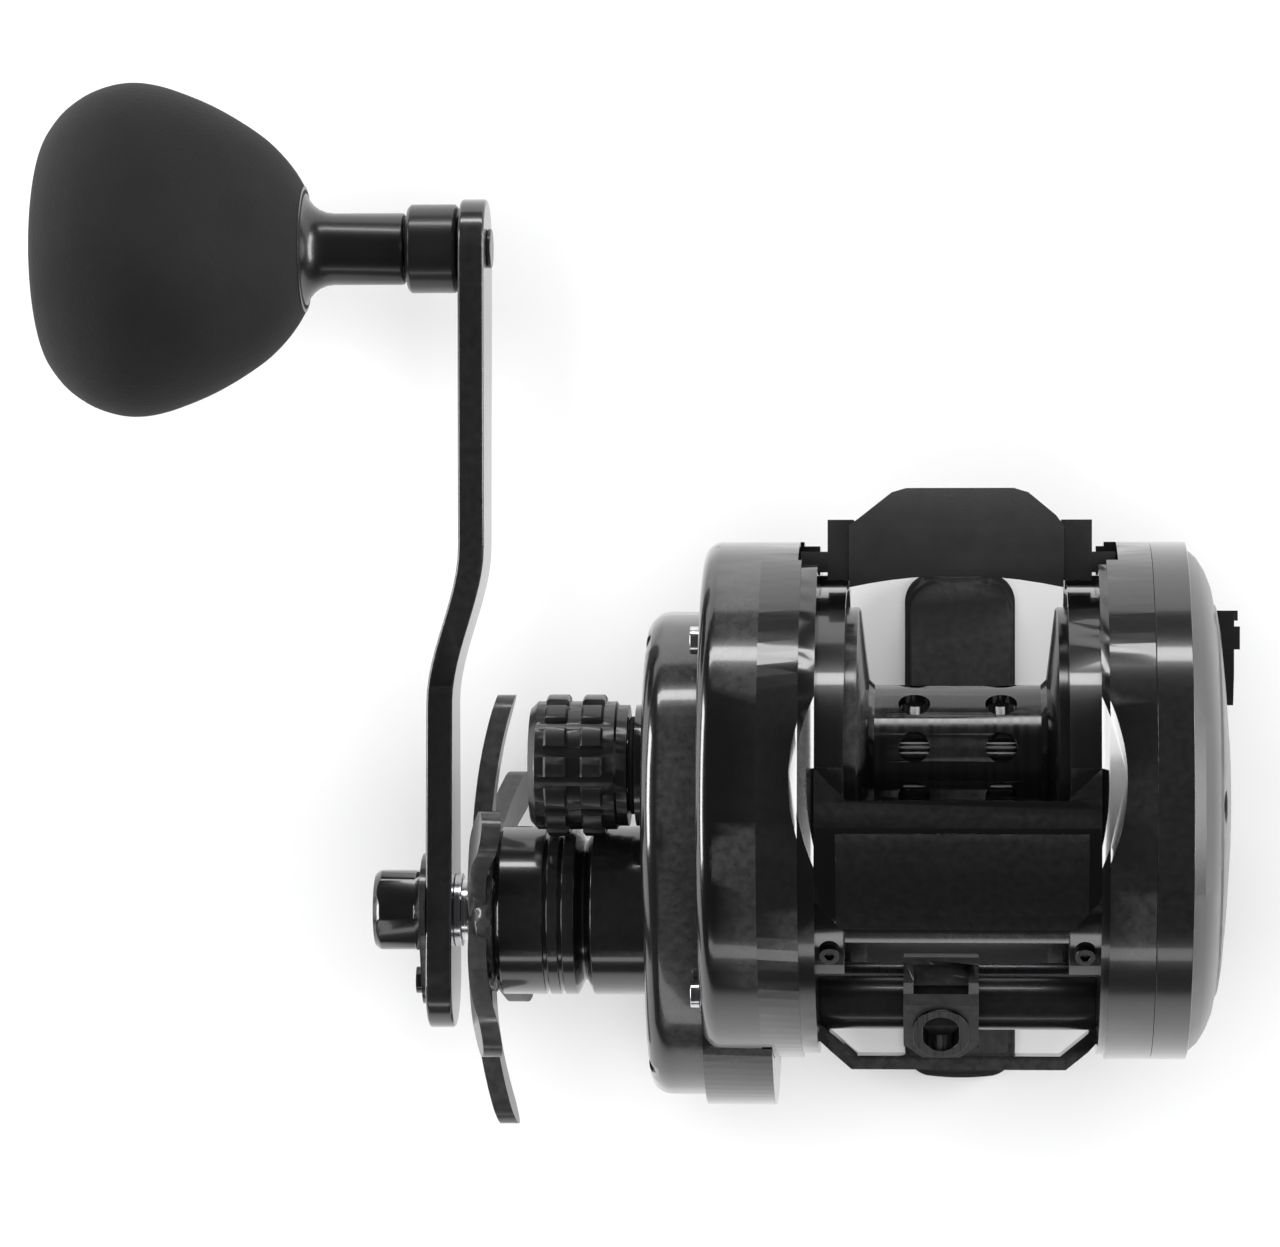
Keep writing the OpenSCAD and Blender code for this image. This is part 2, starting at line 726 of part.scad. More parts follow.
module main_gear() {
    teeth_x = [-35.6, -31.8];
    cup_x = -39.8;
    color("goldenrod") on_drive() difference() {
        union() {
            along_x(teeth_x[0], teeth_x[1]) rotate(mesh_a) gear(main_teeth, gear_mod);
            rod_x(cup_x, teeth_x[0] + 1, 16.2);
        }
        rod_x(cup_x - 1, -33.2, 14.8);
        rod_x(-40, -30, shaft_r);
        round_x(6, 30) translate([0, 0, 9]) rod_x(-40, -30, 2.2);
    }
}

washer_t = 0.9;

module drag_washers() {
    on_drive() for (i = [0 : 4]) color(i % 2 == 0 ? "#2a2a2a" : "silver")
        tube_x(-33.2 - (i + 1) * washer_t, -33.2 - i * washer_t, 14.6, shaft_r);
}

module pressure_plate() {
    color("silver") on_drive() difference() {
        tube_x(-39.2, -37.7, 14.5, shaft_r);
        round_x(4) translate([0, 0, 10]) rod_x(-40, -37, 1.6);
    }
}

module drag_sleeve() {
    color("silver") on_drive() tube_x(-57.7, -39.2, 5, shaft_r);
}

module ratchet_wheel() {
    teeth = 12;
    color("silver") on_drive() difference() {
        along_x(-31.7, -30.7) rotate(ratchet_turn) polygon([for (i = [0 : teeth - 1], k = [0, 1])
            let (a = i * 360 / teeth + k * 1, r = k == 0 ? 7 : 8.5) r * [cos(a), sin(a)]]);
        rod_x(-33, -30, shaft_r);
    }
}

ratchet_turn = 12;

module level_wind_drive_gear() {
    color("white") on_drive() difference() {
        along_x(-30.3, -28.9) rotate(wind_a) gear(wind_teeth, wind_mod);
        rod_x(-31, -28, shaft_r);
    }
}

module handle_spacers() {
    color("silver") on_drive() {
        tube_x(star_x - 2.2, star_x - 1.3, 5.2, shaft_r);
        tube_x(star_x - 1.2, star_x - 0.4, 4.4, shaft_r);
    }
}

// Smooth step from 0 to 1
function ease(t) = let (u = min(1, max(0, t))) u * u * (3 - 2 * u);

function arm_shift(y) = (arm_tip_x - arm_x) * ease((y - 18.5) / 22);

module handle_arm() {
    front_y = -27.7;
    end_y = knob_y + 7.5;
    ys = concat([front_y], [for (i = [0 : 12]) 18.5 + i * 22 / 12], [end_y]);
    last = len(ys) - 1;
    color("#101010") difference() {
        intersection() {
            translate([0, 0, drive_z - 20]) linear_extrude(40) polygon(concat(
                [for (y = ys) [arm_x + arm_shift(y), y]],
                [for (i = [last : -1 : 0]) [arm_x + arm_t + arm_shift(ys[i]), ys[i]]]));
            along_x(-90, -60) union() {
                lobes([front_y + 7.7, drive_z], 7.7, [20, drive_z], arm_w / 2 - 0.4);
                lobes([19, drive_z], arm_w / 2 - 0.5, [knob_y, drive_z], arm_w / 2 + 0.5);
            }
        }
        on_drive() rod_x(-90, -60, shaft_r);
        on_knob() rod_x(-90, -60, spindle_r);
        translate([0, front_y + 6.7, drive_z]) rod_x(arm_x - 1, arm_x + 2.4, 0.95);
    }
}

module handle_nut() {
    color("#181818") on_drive() difference() {
        intersection() {
            rod_x(nut_x, arm_x, 6.4, $fn = 6);
            spun() polygon([[0, nut_x], [5.1, nut_x], [5.9, nut_x + 1], [5.9, arm_x - 1.8],
                [6.4, arm_x - 1.6], [6.4, arm_x], [0, arm_x]]);
        }
        rod_x(-81.2, arm_x + 1, shaft_r);
    }
}

module nut_retainer() {
    screw_y = -21;
    color("#222222") difference() {
        along_x(arm_x - 0.9, arm_x) lobes([drive_y, drive_z], 8, [screw_y, drive_z], 3.4);
        on_drive() rod_x(arm_x - 2, arm_x + 1, 6.6, $fn = 6);
        translate([0, screw_y, drive_z]) rod_x(arm_x - 2, arm_x + 1, 1);
    }
    color("silver") translate([0, screw_y, drive_z]) screw(arm_x - 1.9, 1.9, 1, 4.2, 0.95);
}

module knob_spindle() {
    color("#1a1a1a") on_knob() {
        rod_x(-126, arm_tip_x + arm_t + 0.1, spindle_r);
        rod_x(arm_tip_x + arm_t, arm_tip_x + arm_t + 0.6, 2.8);
        spun() polygon([[spindle_r - 0.1, -78.3], [5.8, -78.3], [6.3, -77.8], [6.3, -71.6],
            [5.8, -71.1], [spindle_r - 0.1, -71.1]]);
        tube_x(-71.1, arm_tip_x, 4.6, spindle_r - 0.1);
    }
}

// ---- Star drag ----

function star_bend(r) = -67.5 + 3.5 * pow(max(0, r - 9) / 21.7, 2);

module star_drag() {
    steps = 14;
    half_t = 1.3;
    half_w = 3.3;
    rs = [for (i = [0 : steps]) 4 + (star_r - 4) * i / steps];
    color("#141414") on_drive() difference() {
        union() {
            spun() polygon([[0, star_x], [6.2, star_x], [11.2, star_x + 1.6], [11.6, star_x + 3.6],
                [8, star_x + 3.8], [8, -64.6], [0, -64.6]]);
            round_x(star_arms, star_turn - 90) intersection() {
                translate([0, half_w + 1, 0]) rotate([90, 0, 0]) linear_extrude(2 * half_w + 2)
                    polygon(concat([for (r = rs) [star_bend(r) - half_t, r]],
                        [for (i = [steps : -1 : 0]) [star_bend(rs[i]) + half_t, rs[i]]]));
                along_x(-72, -60) union() {
                    translate([0, star_r - half_w]) circle(half_w);
                    polygon([[-4.4, 6], [4.4, 6], [half_w - 0.6, 17], [half_w, star_r - half_w],
                        [-half_w, star_r - half_w], [-half_w + 0.6, 17]]);
                }
            }
        }
        rod_x(-80, -60, shaft_r + run);
    }
}

module drag_nut() {
    color("silver") on_drive() difference() {
        rod_x(-64.6, -60.7, 7.4, $fn = 6);
        rod_x(-66, -60, shaft_r + run);
    }
}

module spring_washers() {
    t = 0.45;
    color("silver") on_drive() for (i = [0 : 1]) {
        x = -59.5 + i * 0.9;
        lean = i == 0 ? -0.35 : 0.35;
        spun() polygon([[shaft_r, x], [5.6, x + lean], [5.6, x + lean + t], [shaft_r, x + t]]);
    }
}

// ---- Knob ----

module knob_foam() {
    // Quarter-ellipse crown, long shoulder and a hollow at the neck
    crown = [for (a = [8 : 8 : 88]) [8 + (knob_r - 8) * sin(a), -117.6 - 13.7 * cos(a)]];
    side = [[knob_r, -117.6], [23.6, -113.5], [22.6, -109.8], [20.6, -105.6], [18.6, -102],
        [16.2, -98.4], [13.9, -96.2], [11.8, -94.4], [9.6, -92.9]];
    color("#262626") on_knob() spun() polygon(concat([[6.9, -129.4], [6.9, -131]], crown, side,
        [[9.2, -93.15], [7.6, -93.65], [5.1, -93.85], [5.1, -126], [3, -129.4]]));
}

module knob_sleeve() {
    flare = [for (a = [0 : 15 : 90]) [5.1 + 4 * (1 - sin(a)), -93.1 + 4.2 * (1 - cos(a))]];
    color("#141414") on_knob() difference() {
        spun() polygon(concat([[0, -124], [5.1, -124], [5.1, -93.8], [7.6, -93.6]], flare,
            [[5.1, -79], [4.8, -78.7], [0, -78.7]]));
        rod_x(-130, -78, spindle_r + 0.3);
        rod_x(-81.4, -78, 4.2);
        rod_x(-125, -121.4, 4.2);
    }
}

module knob_end_cap() {
    color("#2e2e2e") on_knob() spun() polygon([[0, -129.5], [6.8, -129.5], [6.8, -131.2],
        [6.1, -131.8], [0, -131.9]]);
}

module knob_bearings() {
    on_knob() {
        bearing(-81.3, -79.2, 4.2, spindle_r + run, 7);
        bearing(-123.6, -121.5, 4.2, spindle_r + run, 7);
    }
}

// ---- Cast control ----

module cast_control_cap() {
    body_r = 9;
    lug_r = 9.95;
    lugs = 14;
    skirt_x = -46.25;
    color("#131313") on_spool() difference() {
        union() {
            spun() polygon([[0, cap_x], [body_r - 1, cap_x], [body_r, cap_x + 1],
                [body_r, -48], [body_r - 0.5, -47.7], [body_r - 0.5, skirt_x], [0, skirt_x]]);
            intersection() {
                union() {
                    for (x = [[-57.7, -54.5], [-52.6, -49.5]]) spun() polygon([[body_r - 1, x[0]],
                        [lug_r - 0.3, x[0]], [lug_r, x[0] + 0.3], [lug_r, x[1] - 0.3],
                        [lug_r - 0.3, x[1]], [body_r - 1, x[1]]]);
                }
                round_x(lugs) box([-60, -1.35, 0], [-48, 1.35, 12]);
            }
        }
        rod_x(-58, -40, neck_r + run);
    }
}

module tension_washer() {
    color("peru") on_spool() rod_x(-58, -57.65, 4);
}

module cap_o_ring() {
    color("#202020") on_spool() spun() translate([6.45, -45.75]) circle(0.42);
}

// ---- Clutch ----

module clutch_yoke() {
    t = [-30.7, -29.5];
    color("gold") on_spool() rotate([mesh_a, 0, 0]) difference() {
        union() {
            along_x(t[0], t[1]) translate([-1.6, -yoke_arm]) square([7, 2 * yoke_arm]);
            for (s = [-1, 1]) translate([0, 0, s * yoke_arm]) rod_x(t[0], t[1], 2.3);
        }
        rod_x(-32, -28, 2.7);
        box([-32, -4, -2.7], [-28, 0, 2.7]);
        for (s = [-1, 1]) translate([0, 0, s * yoke_arm]) rod_x(-32, -28, 1.06);
    }
}

// Drawn at the length they have when the yoke is pressed back
module yoke_springs() {
    pressed_len = 8.8;
    color("silver") yoke_post_places() translate([cover_x + 2, 0, 0]) coil(1.6, 0.25, pressed_len, 6);
}

module pinion() {
    color("goldenrod") on_spool() difference() {
        union() {
            along_x(-37.6, -30.95) rotate(mesh_a + 180 + 180 / pinion_teeth)
                gear(pinion_teeth, gear_mod);
            rod_x(-31, -29, 2.4);
            rod_x(-29.25, -23.6, 3);
        }
        rod_x(-38, -23, axle_r);
        rotate([mesh_a, 0, 0]) box([-24.7, -0.75, -4], [-23, 0.75, 4]);
    }
}

// ---- Level wind ----

module worm_tube() {
    color("#121212") on_worm() difference() {
        tube_x(web_l, web_rt, tube_r, tube_r - 0.9);
        box([-15.6, -1.4, -6], [15, 1.4, 0]);
    }
}

module worm_bushes() {
    color("ivory") on_worm() {
        tube_x(-22.4, web_l, 3.2, axle_r + run);
        tube_x(web_rt, 21.8, 3.2, axle_r + run);
    }
}

module guide_rod() {
    color("#2a2a2a") on_rod() rod_x(-20.6, 20.6, rod_r);
}

module worm_shaft() {
    core_r = 2.5;
    pitch = 5.6;
    color("silver") on_worm() {
        rod_x(-30.4, 22, axle_r);
        difference() {
            rod_x(-19, 18.4, core_r);
            // Crossing grooves, drawn as slanted rings
            for (x = [-14 : pitch / 2 : 14], s = [-1, 1]) translate([x, 0, 0])
                rotate([0, s * 24, 0]) tube_x(-0.4, 0.4, core_r + 1, core_r - 0.5);
        }
    }
}

module worm_gear() {
    color("ivory") on_worm() difference() {
        along_x(-30.3, -28.9) rotate(wind_a + 180 + 180 / worm_teeth) gear(worm_teeth, wind_mod);
        rod_x(-32, -28, axle_r);
    }
}

eye_y = -26;
eye_z = 49.2;
eye_tilt = 42;

module on_eye() { translate([guide_x, eye_y, eye_z]) rotate([eye_tilt, 0, 0]) children(); }

module oval(r) {
    reach = 0.8;
    for (y = [-reach, reach]) translate([0, y]) circle(r);
    square([2 * r - 0.04, 2 * reach], center = true);
}

module line_guide() {
    half = guide_w / 2;
    cheek = 1.4;
    color("#0f0f0f") difference() {
        union() {
            on_worm() rod_x(guide_x - half, guide_x + half, tube_r + 1.3);
            box([guide_x - half, rod_y - 2, worm_z], [guide_x + half, rod_y + 1.9, rod_z + 1.9]);
            for (x = [guide_x - half, guide_x + half - cheek]) along_x(x, x + cheek)
                polygon([[-27.4, 41], [-29.2, 45.6], [-22.4, 51.7], [-20, 50.2],
                    [-17, 46.8], [-17, 40.4]]);
            on_eye() translate([0, 0, -1.1]) linear_extrude(2.2) polygon([[-half, half],
                [half, half], [half, -half / 2], [half / 2, -half], [-half / 2, -half],
                [-half, -half / 2]]);
            on_worm() translate([guide_x, 0, -9.4]) cylinder(h = 6.4, r = 2.9);
        }
        on_worm() rod_x(-20, 20, tube_r + run);
        on_rod() rod_x(-20, 20, rod_r + run);
        on_eye() translate([0, 0, -3]) linear_extrude(6) oval(3.5);
        on_worm() translate([guide_x, 0, -12]) cylinder(h = 10, r = 1.6);
    }
}

module eye_insert() {
    color("silver") on_eye() difference() {
        union() {
            translate([0, 0, -1.5]) linear_extrude(3) oval(3.5);
            translate([0, 0, 1.1]) linear_extrude(0.5) oval(3.9);
        }
        translate([0, 0, -3]) linear_extrude(6) oval(2.5);
    }
}

module pawl() {
    color("gold") on_worm() translate([guide_x, 0, 0]) {
        translate([0, 0, -8.4]) cylinder(h = 3.6, r = 1.6);
        translate([0, 0, -5]) cylinder(h = 2.4, r = 1.15);
        translate([0, 0, -10.6]) cylinder(h = 1.2, r = 3.1);
        translate([0, 0, -9.5]) cylinder(h = 1.2, r = 1.55);
    }
}

// ---- Thumb bar, dog ----

module thumb_bar() {
    c = [37.5, 33];
    top_r = 22;
    thick = 2.6;
    block = [[-18.2, -14.6], [13.9, 18.1]];
    tongue = [[-21.9, -18], [17.9, 21.3]];
    color("#202020") {
        intersection() {
            translate([0, c[0], c[1]]) tube_x(-20, 20, top_r, top_r - thick);
            translate([0, 0, 45]) linear_extrude(20) polygon(concat([[-15.2, 34.7], [-15.2, 43.2],
                [-13.4, 44.6], [-9.4, 47.8], [-7.4, 48.4], [7.4, 48.4], [9.4, 47.8],
                [13.2, 44.6], [14.2, 43.2], [14.2, 34.7]],
                [for (i = [1 : 9]) let (t = i / 5 - 1) [14.2 - i * 2.94, 36.3 - 1.6 * t * t]]));
        }
        for (x = block) box([x[0], 35.7, 47.2], [x[1], 44, 53.4]);
        for (x = tongue) box([x[0], 36.8, 48], [x[1], 39.6, 53]);
    }
}

module anti_reverse_dog() {
    tip = [-8.9, 24.3];
    color("gold") difference() {
        along_x(-31.5, -30.7) lobes([dog_y, dog_z], 2.4, tip, 0.8);
        translate([0, dog_y, dog_z]) rod_x(-33, -30, 1 + run);
    }
}

frame();
front_hood();
hood_screws();
reel_foot();
foot_rivets();
handle_side_plate();
side_plate_screws();
gear_box_cover();
cover_screws();
clutch_housing();
one_way_bearing();
drive_bearing();
pinion_bearing();
yoke_posts();
dog_pin();
palm_side_plate();
palm_cap();
palm_screws();
brake_drum();
spool_bearings();
worm_tube();
worm_bushes();
guide_rod();
cap_o_ring();
spool();
spool_shaft();
click_gear();
brake_hub();
drive_shaft();
main_gear();
drag_washers();
pressure_plate();
drag_sleeve();
ratchet_wheel();
level_wind_drive_gear();
handle_spacers();
handle_arm();
handle_nut();
nut_retainer();
knob_spindle();
star_drag();
drag_nut();
spring_washers();
knob_foam();
knob_sleeve();
knob_end_cap();
knob_bearings();
cast_control_cap();
tension_washer();
clutch_yoke();
yoke_springs();
pinion();
worm_shaft();
worm_gear();
line_guide();
eye_insert();
pawl();
thumb_bar();
click_switch();
anti_reverse_dog();
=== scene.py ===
import json
import math

import bmesh
import bpy
from mathutils import Matrix, Vector


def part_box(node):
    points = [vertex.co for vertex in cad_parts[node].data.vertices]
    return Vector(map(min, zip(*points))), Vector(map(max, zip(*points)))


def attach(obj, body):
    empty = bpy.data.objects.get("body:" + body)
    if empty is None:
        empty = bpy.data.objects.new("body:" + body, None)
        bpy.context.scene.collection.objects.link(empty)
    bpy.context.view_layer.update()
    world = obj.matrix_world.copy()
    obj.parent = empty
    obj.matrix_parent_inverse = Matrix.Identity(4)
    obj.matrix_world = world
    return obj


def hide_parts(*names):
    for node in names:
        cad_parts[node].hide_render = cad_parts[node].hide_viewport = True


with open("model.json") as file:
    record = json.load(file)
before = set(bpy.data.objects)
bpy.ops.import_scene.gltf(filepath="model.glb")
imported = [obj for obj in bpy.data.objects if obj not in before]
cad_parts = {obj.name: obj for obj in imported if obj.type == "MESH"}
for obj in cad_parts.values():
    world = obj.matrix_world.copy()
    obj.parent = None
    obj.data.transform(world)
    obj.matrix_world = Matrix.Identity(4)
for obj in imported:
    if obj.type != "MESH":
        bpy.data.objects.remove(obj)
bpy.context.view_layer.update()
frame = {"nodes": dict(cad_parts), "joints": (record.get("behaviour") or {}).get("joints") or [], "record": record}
nodes = frame["nodes"]
joints = {j["name"]: j for j in frame["joints"]}
MM = 0.001


# ---- Camera and light ----

def look_at(obj, place, target, up):
    """Places an object and turns its -Z towards the target, with up as near as it can be."""
    forward = (Vector(target) - Vector(place)).normalized()
    right = forward.cross(Vector(up)).normalized()
    top = right.cross(forward)
    turn = Matrix((right, top, -forward)).transposed()
    obj.matrix_world = Matrix.Translation(place) @ turn.to_4x4()


def make_camera():
    """A long lens high above the spool, aimed a little towards the handle's side."""
    rise = 0.72             # above the spool's axis
    place_y = 0.0302
    aim_x = -0.0448
    aim_y = 0.0297
    data = bpy.data.cameras.new("camera")
    data.lens = 144.6
    data.sensor_width = 36
    data.clip_start = 0.01
    data.clip_end = 20
    cam = bpy.data.objects.new("camera", data)
    bpy.context.scene.collection.objects.link(cam)
    axis_height = joints["spool_spin"]["pos_m"][2]
    look_at(cam, (0, place_y, axis_height + rise), (aim_x, aim_y, axis_height), (0, 1, 0))
    bpy.context.scene.camera = cam


def softbox(name, place, target, size, power, up=(0, 0, 1)):
    data = bpy.data.lights.new(name, "AREA")
    data.shape = "RECTANGLE"
    data.size, data.size_y = size
    data.energy = power
    lamp = bpy.data.objects.new(name, data)
    bpy.context.scene.collection.objects.link(lamp)
    look_at(lamp, place, target, up)
    return lamp


def make_lights():
    """Low softboxes on the left, right and rear, a weak one in front, and a dim surround."""
    aim = (0, 0, 0.04)
    softbox("key_left", (-0.85, 0.1, 0.30), aim, (0.8, 0.24), 9)
    softbox("key_right", (0.85, 0.12, 0.30), aim, (0.8, 0.24), 9)
    softbox("rear", (0.0, 0.95, 0.42), aim, (1.0, 0.13), 4.4)
    softbox("front", (-0.05, -0.95, 0.42), aim, (1.0, 0.12), 0.9)
    # Wash on the floor from above, which the gloss doesn't mirror
    top = softbox("wash", (0, 0, 1.6), aim, (1.5, 1.5), 18.5, up=(0, 1, 0))
    top.visible_glossy = False
    world = bpy.data.worlds.new("surround")
    bpy.context.scene.world = world
    world.use_nodes = True
    back = world.node_tree.nodes["Background"]
    back.inputs["Color"].default_value = (0.9, 0.92, 0.95, 1)
    back.inputs["Strength"].default_value = 0.045
    bpy.context.scene.view_settings.view_transform = "Standard"


def make_floor():
    mesh = bpy.data.meshes.new("floor")
    half = 3.0
    level = -0.0006         # a little below the foot, so that the two faces don't coincide
    corners = [(-half, -half, level), (half, -half, level), (half, half, level), (-half, half, level)]
    mesh.from_pydata(corners, [], [(0, 1, 2, 3)])
    floor = bpy.data.objects.new("floor", mesh)
    bpy.context.scene.collection.objects.link(floor)
    mat = bpy.data.materials.new("floor_white")
    mat.use_nodes = True
    bsdf = mat.node_tree.nodes["Principled BSDF"]
    bsdf.inputs["Base Color"].default_value = (0.92, 0.92, 0.92, 1)
    bsdf.inputs["Roughness"].default_value = 0.9
    mesh.materials.append(mat)


# ---- Materials ----

class Graph:
    """Short way to add and link shader nodes in one material."""

    def __init__(self, name, roughness, metallic, specular=0.5):
        self.mat = bpy.data.materials.new(name)
        self.mat.use_nodes = True
        self.tree = self.mat.node_tree
        self.bsdf = self.tree.nodes["Principled BSDF"]
        self.bsdf.inputs["Metallic"].default_value = metallic
        self.bsdf.inputs["Roughness"].default_value = roughness
        self.bsdf.inputs["Specular IOR Level"].default_value = specular
        self.place = self.tree.nodes.new("ShaderNodeTexCoord").outputs["Object"]

    def link(self, a, b):
        self.tree.links.new(a, b)

    def scaled(self, scale):
        node = self.tree.nodes.new("ShaderNodeMapping")
        node.inputs["Scale"].default_value = scale
        self.link(self.place, node.inputs["Vector"])
        return node.outputs["Vector"]

    def noise(self, scale, detail=4, stretch=None):
        node = self.tree.nodes.new("ShaderNodeTexNoise")
        node.inputs["Scale"].default_value = scale
        node.inputs["Detail"].default_value = detail
        self.link(self.scaled(stretch) if stretch else self.place, node.inputs["Vector"])
        return node.outputs["Fac"]

    def voronoi(self, scale):
        node = self.tree.nodes.new("ShaderNodeTexVoronoi")
        node.inputs["Scale"].default_value = scale
        self.link(self.place, node.inputs["Vector"])
        return node.outputs["Distance"]

    def remap(self, value, lo, hi, out_lo, out_hi):
        node = self.tree.nodes.new("ShaderNodeMapRange")
        for key, v in zip(("From Min", "From Max", "To Min", "To Max"), (lo, hi, out_lo, out_hi)):
            node.inputs[key].default_value = v
        self.link(value, node.inputs["Value"])
        return node.outputs["Result"]

    def colours(self, value, stops):
        node = self.tree.nodes.new("ShaderNodeValToRGB")
        ramp = node.color_ramp
        while len(ramp.elements) < len(stops):
            ramp.elements.new(0.5)
        for element, (at, rgb) in zip(ramp.elements, stops):
            element.position = at
            element.color = (*rgb, 1)
        self.link(value, node.inputs["Fac"])
        return node.outputs["Color"]

    def bump(self, height, strength, distance):
        node = self.tree.nodes.new("ShaderNodeBump")
        node.inputs["Strength"].default_value = strength
        node.inputs["Distance"].default_value = distance
        self.link(height, node.inputs["Height"])
        if self.bsdf.inputs["Normal"].is_linked:
            self.link(self.bsdf.inputs["Normal"].links[0].from_socket, node.inputs["Normal"])
        self.link(node.outputs["Normal"], self.bsdf.inputs["Normal"])

    def edge_wear(self, base, worn, amount):
        """Lighter colour where the surface turns sharply, broken up by noise."""
        plain, sharp = 0.52, 0.60       # pointiness where the wear starts and where it is full
        patch_scale = 900
        geo = self.tree.nodes.new("ShaderNodeNewGeometry")
        edge = self.remap(geo.outputs["Pointiness"], plain, sharp, 0, amount)
        patchy = self.tree.nodes.new("ShaderNodeMath")
        patchy.operation = "MULTIPLY"
        self.link(edge, patchy.inputs[0])
        self.link(self.noise(patch_scale, 3), patchy.inputs[1])
        mix = self.tree.nodes.new("ShaderNodeMix")
        mix.data_type = "RGBA"
        # The colour sockets of this node share their names with others, so they are taken by number
        factor, colour_a, colour_b, mixed = mix.inputs[0], mix.inputs[6], mix.inputs[7], mix.outputs[2]
        self.link(patchy.outputs[0], factor)
        self.link(base, colour_a)
        colour_b.default_value = (*worn, 1)
        self.link(mixed, self.bsdf.inputs["Base Color"])


def black_metal(name, tone, roughness, grain=0.0, coat=0.0, worn=0.16):
    """Anodised or painted black metal with faint cloudiness, handling haze and worn edges."""
    g = Graph(name, roughness, 0.0, 0.55)
    lo = tuple(tone * k for k in (0.92, 0.92, 0.94))
    hi = tuple(tone * k for k in (1.08, 1.08, 1.1))
    base = g.colours(g.noise(30, 3), [(0.3, lo), (0.7, hi)])
    g.edge_wear(base, (worn, worn, worn), 0.35)
    haze = g.remap(g.noise(35, 2), 0.3, 0.75, roughness * 0.96, roughness * 1.05)
    g.link(haze, g.bsdf.inputs["Roughness"])
    if coat:
        g.bsdf.inputs["Coat Weight"].default_value = coat
        g.bsdf.inputs["Coat Roughness"].default_value = 0.06
    if grain:
        g.bump(g.noise(4200, 2), grain, 0.00003)
    return g.mat


def satin_between(mat, half_width, roughness, coat):
    """Duller finish on the surfaces between the two drums, where the black is blasted and not polished."""
    blend = 0.1 * MM
    tree = mat.node_tree
    bsdf = tree.nodes["Principled BSDF"]
    place = tree.nodes.new("ShaderNodeTexCoord")
    split = tree.nodes.new("ShaderNodeSeparateXYZ")
    tree.links.new(place.outputs["Object"], split.inputs["Vector"])
    size = tree.nodes.new("ShaderNodeMath")
    size.operation = "ABSOLUTE"
    tree.links.new(split.outputs["X"], size.inputs[0])
    for socket, inside in (("Roughness", roughness), ("Coat Weight", coat)):
        target = bsdf.inputs[socket]
        mix = tree.nodes.new("ShaderNodeMapRange")
        mix.inputs["From Min"].default_value = half_width - blend
        mix.inputs["From Max"].default_value = half_width + blend
        mix.inputs["To Min"].default_value = inside
        mix.inputs["To Max"].default_value = target.default_value
        tree.links.new(size.outputs["Value"], mix.inputs["Value"])
        if target.is_linked:
            tree.links.new(target.links[0].from_socket, mix.inputs["To Max"])
        tree.links.new(mix.outputs["Result"], target)
    return mat


def lathe_black(name, tone, roughness, grooves):
    """Black metal turned on a lathe: very fine rings across the X direction."""
    g = Graph(name, roughness, 0.0, 0.6)
    rings = g.noise(40, 3, (grooves, 0.5, 0.5))
    base = g.colours(rings, [(0.35, (tone * 0.8,) * 3), (0.65, (tone * 1.3,) * 3)])
    g.edge_wear(base, (0.2, 0.2, 0.2), 0.5)
    g.link(g.remap(rings, 0.3, 0.7, roughness * 0.8, roughness * 1.25), g.bsdf.inputs["Roughness"])
    g.bump(rings, 0.12, 0.00002)
    return g.mat


def bright_metal(name, rgb, roughness, stretch=(60, 1, 1)):
    """Bare metal with fine tool marks and a little tarnish."""
    g = Graph(name, roughness, 1.0)
    marks = g.noise(60, 4, stretch)
    dull = tuple(c * 0.72 for c in rgb)
    g.edge_wear(g.colours(marks, [(0.3, dull), (0.7, rgb)]), tuple(min(1, c * 1.2) for c in rgb), 0.6)
    g.link(g.remap(marks, 0.3, 0.7, roughness * 0.7, roughness * 1.4), g.bsdf.inputs["Roughness"])
    g.bump(marks, 0.1, 0.00002)
    return g.mat


def foam_rubber(name):
    """Closed-cell foam: skinned-over pores, dull, with soft blotches from moulding."""
    g = Graph(name, 0.88, 0.0, 0.18)
    cells = g.voronoi(1500)
    blotch = g.noise(45, 5)
    g.link(g.colours(blotch, [(0.25, (0.012, 0.012, 0.012)), (0.8, (0.022, 0.022, 0.023))]),
        g.bsdf.inputs["Base Color"])
    g.bsdf.inputs["Sheen Weight"].default_value = 0.03
    g.bsdf.inputs["Sheen Roughness"].default_value = 0.5
    g.bump(cells, 0.35, 0.00012)
    g.bump(g.noise(2600, 3), 0.3, 0.00008)
    return g.mat


def moulded(name, rgb, roughness, grain):
    """Moulded plastic or rubber with a fine spark texture."""
    g = Graph(name, roughness, 0.0, 0.45)
    lo = tuple(c * 0.8 for c in rgb)
    hi = tuple(min(1, c * 1.2) for c in rgb)
    g.edge_wear(g.colours(g.noise(150, 5), [(0.3, lo), (0.7, hi)]), tuple(min(1, c * 2) for c in rgb), 0.3)
    g.link(g.remap(g.noise(500, 3), 0.3, 0.7, roughness * 0.9, min(1, roughness * 1.1)),
        g.bsdf.inputs["Roughness"])
    g.bump(g.voronoi(3600), grain, 0.00005)
    return g.mat


